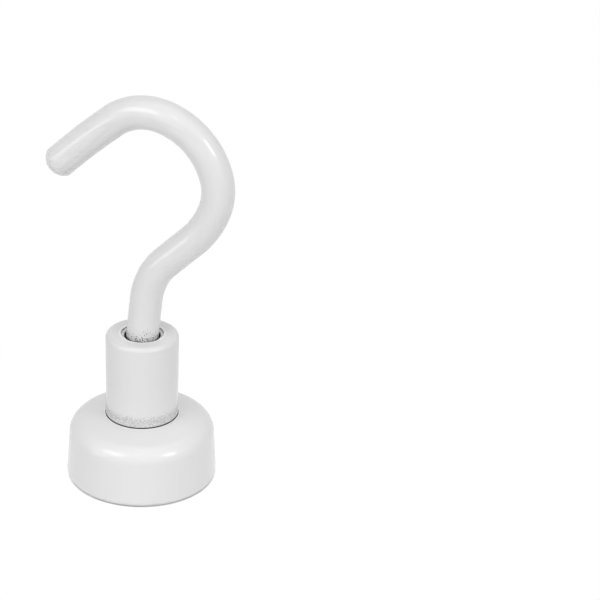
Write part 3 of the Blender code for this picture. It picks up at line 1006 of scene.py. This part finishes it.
class MAGHOOK_OT_stage(bpy.types.Operator):
    """Sets the camera, the floor, the soft lights and the white surroundings"""
    bl_idname = "maghook.stage"
    bl_label = "Stage"

    camera_place = (0.083709, -0.217304, 0.139471)
    nearest = 0.001
    aim = (0.0, 0.0, 0.020)
    sheen_distance = 0.60
    fill_distance = 0.66
    floor_radius = 3.0
    floor_points = 128
    covered = 0.00065
    contact_fade = 0.00010
    contact_shade = 0.80
    # name, azimuth from -Y towards +X, elevation, width, height, radiance. A sheen is only seen
    # mirrored in the coat, and a fill, which stands further off, only lights it.
    lamps = (
        ("left_sheen", -28.0, 36.0, 0.34, 0.22, 4.0),
        ("right_sheen", 67.0, 31.0, 0.18, 0.17, 7.5),
        ("top_sheen", 20.0, 54.0, 0.08, 0.10, 6.0),
        ("flank_sheen", -46.0, 4.0, 0.24, 0.10, 3.5),
        ("overhead_sheen", 20.0, 88.0, 0.50, 0.30, 0.6),
        ("left_fill", -31.0, 34.0, 0.55, 0.40, 2.50),
        ("right_fill", 68.0, 31.0, 0.29, 0.26, 3.55),
        ("side_fill", 115.0, 15.0, 0.88, 0.88, 0.60),
        ("front_fill", 20.0, 5.0, 0.88, 0.66, 1.42),
        ("overhead_fill", 20.0, 88.0, 0.88, 0.88, 0.78),
        ("back_fill", 201.0, 10.0, 0.88, 0.66, 0.90),
        ("under_fill", 20.0, -60.0, 0.55, 0.55, 3.60),
    )

    def execute(self, context):
        stage = context.scene.magnetic_hook.stage
        context.scene.view_settings.view_transform = "Standard"
        self.add_camera(context, stage)
        for lamp in self.lamps:
            self.add_lamp(stage.key, *lamp)
        self.add_floor(stage)
        self.add_world(context, stage)
        return {"FINISHED"}

    def add_camera(self, context, stage):
        bpy.ops.object.camera_add(location=self.camera_place)
        camera = context.object
        camera.name = "camera"
        look = Matrix.Rotation(stage.turn, 3, "Z")
        look = look @ Matrix.Rotation(QUARTER_TURN - stage.tilt, 3, "X")
        look = look @ Matrix.Rotation(stage.roll, 3, "Z")
        camera.rotation_euler = look.to_euler()
        camera.data.lens = stage.lens
        camera.data.clip_start = self.nearest
        context.scene.camera = camera

    def add_lamp(self, key, name, azimuth, elevation, width, height, radiance):
        """An area light whose face has the given radiance."""
        azimuth, elevation = math.radians(azimuth), math.radians(elevation)
        away = Vector((
            math.sin(azimuth) * math.cos(elevation),
            -math.cos(azimuth) * math.cos(elevation),
            math.sin(elevation),
        ))
        mirrored = name.endswith("sheen")
        distance = self.sheen_distance if mirrored else self.fill_distance
        bpy.ops.object.light_add(type="AREA", location=Vector(self.aim) + away * distance)
        light = bpy.context.object
        light.name = name
        light.rotation_euler = away.to_track_quat("Z", "Y").to_euler()
        light.data.shape = "RECTANGLE"
        light.data.size = width
        light.data.size_y = height
        light.data.energy = key * radiance * math.pi * width * height
        light.visible_camera = False
        light.visible_diffuse = not mirrored
        light.visible_glossy = mirrored

    def add_floor(self, stage):
        """A wide floor, open where the pot covers it, so that the magnet is lit from below."""
        opening = POT_HIGH.x - self.covered
        bpy.ops.object.select_all(action="DESELECT")
        bpy.ops.mesh.primitive_circle_add(
            vertices=self.floor_points, radius=opening, location=ORIGIN,
        )
        floor = bpy.context.object
        floor.name = "floor"
        bpy.ops.object.mode_set(mode="EDIT")
        bpy.ops.mesh.select_all(action="SELECT")
        bpy.ops.mesh.extrude_edges_move()
        spread = self.floor_radius / opening
        bpy.ops.transform.resize(value=(spread, spread, 1.0), center_override=ORIGIN)
        bpy.ops.mesh.select_all(action="SELECT")
        if bmesh.from_edit_mesh(floor.data).faces[:][0].normal.z < 0:
            bpy.ops.mesh.flip_normals()
        bpy.ops.object.mode_set(mode="OBJECT")
        floor.data.materials.append(self.floor_material(stage))

    def floor_material(self, stage):
        """White and shaded where it is seen, plain grey as light, and clear from below."""
        material = bpy.data.materials.new("floor_white")
        material.use_nodes = True
        material.cycles.emission_sampling = "NONE"
        material.node_tree.nodes.clear()
        wire = Wiring(material.node_tree)
        side = wire.node("ShaderNodeNewGeometry").outputs["Backfacing"]
        away = wire.reach(wire.node("ShaderNodeTexCoord").outputs["Object"])
        near = POT_HIGH.x - stage.contact_reach, POT_HIGH.x + self.contact_fade
        grey = wire.ramp(away, *near, self.contact_shade, stage.floor_diffuse)
        strength = wire.ramp(away, *near, 0.0, stage.floor_glow)
        shade = wire.feed(wire.node("ShaderNodeBsdfDiffuse"), Color=grey).outputs[0]
        glow = wire.feed(wire.node("ShaderNodeEmission"), Strength=strength).outputs[0]
        near_seen = wire.fill(wire.node("ShaderNodeAddShader"), shade, glow)
        far = wire.ramp(away, stage.shade_reach / 3, stage.shade_reach)
        white = wire.node("ShaderNodeEmission").outputs[0]
        seen = wire.fill(wire.node("ShaderNodeMixShader"), far, near_seen, white)
        bounce = (stage.floor_bounce,) * 3 + (1.0,)
        plain = wire.feed(wire.node("ShaderNodeBsdfDiffuse"), Color=bounce).outputs[0]
        above = wire.fill(wire.node("ShaderNodeMixShader"), shown_rays(wire), plain, seen)
        clear = wire.node("ShaderNodeBsdfTransparent").outputs[0]
        result = wire.fill(wire.node("ShaderNodeMixShader"), side, above, clear)
        wire.feed(wire.node("ShaderNodeOutputMaterial"), Surface=result)
        return material

    def add_world(self, context, stage):
        """White where it is seen, mirrored or seen through, and a softer level as light."""
        world = bpy.data.worlds.new("surroundings")
        context.scene.world = world
        world.use_nodes = True
        wire = Wiring(world.node_tree)
        level = (stage.ambient,) * 3 + (1.0,)
        tint = wire.mix(shown_rays(wire), level, (1.0, 1.0, 1.0, 1.0))
        wire.join(tint, world.node_tree.nodes["Background"].inputs["Color"])


class MAGHOOK_PT_pieces(bpy.types.Panel):
    """Builds each piece of the hook"""
    bl_idname = "MAGHOOK_PT_pieces"
    bl_label = "Magnetic Hook"
    bl_space_type = "VIEW_3D"
    bl_region_type = "UI"
    bl_category = "Magnetic Hook"

    def draw(self, context):
        for operator in OPERATORS:
            self.layout.operator(operator.bl_idname)
        settings = context.scene.magnetic_hook
        for group in HookSettings.__annotations__:
            box = self.layout.box()
            box.label(text=group.title())
            for name in getattr(settings, group).__annotations__:
                box.prop(getattr(settings, group), name)


OPERATORS = (
    MAGHOOK_OT_pot, MAGHOOK_OT_collar, MAGHOOK_OT_rod, MAGHOOK_OT_magnet, MAGHOOK_OT_bed,
    MAGHOOK_OT_screw, MAGHOOK_OT_ring, MAGHOOK_OT_stage,
)
GROUPS = (
    PotSizes, CollarSizes, RodSizes, MagnetSizes, FastenerSizes, Finishes, Stage, HookSettings,
)


def register():
    for item in (*GROUPS, *OPERATORS, MAGHOOK_PT_pieces):
        bpy.utils.register_class(item)
    bpy.types.Scene.magnetic_hook = PointerProperty(type=HookSettings)


def unregister():
    del bpy.types.Scene.magnetic_hook
    for item in reversed((*GROUPS, *OPERATORS, MAGHOOK_PT_pieces)):
        bpy.utils.unregister_class(item)


def main():
    register()
    for name in ("pot", "collar", "rod", "magnet", "bed", "screw", "ring", "stage"):
        getattr(bpy.ops.maghook, name)()


if __name__ == "__main__":
    main()
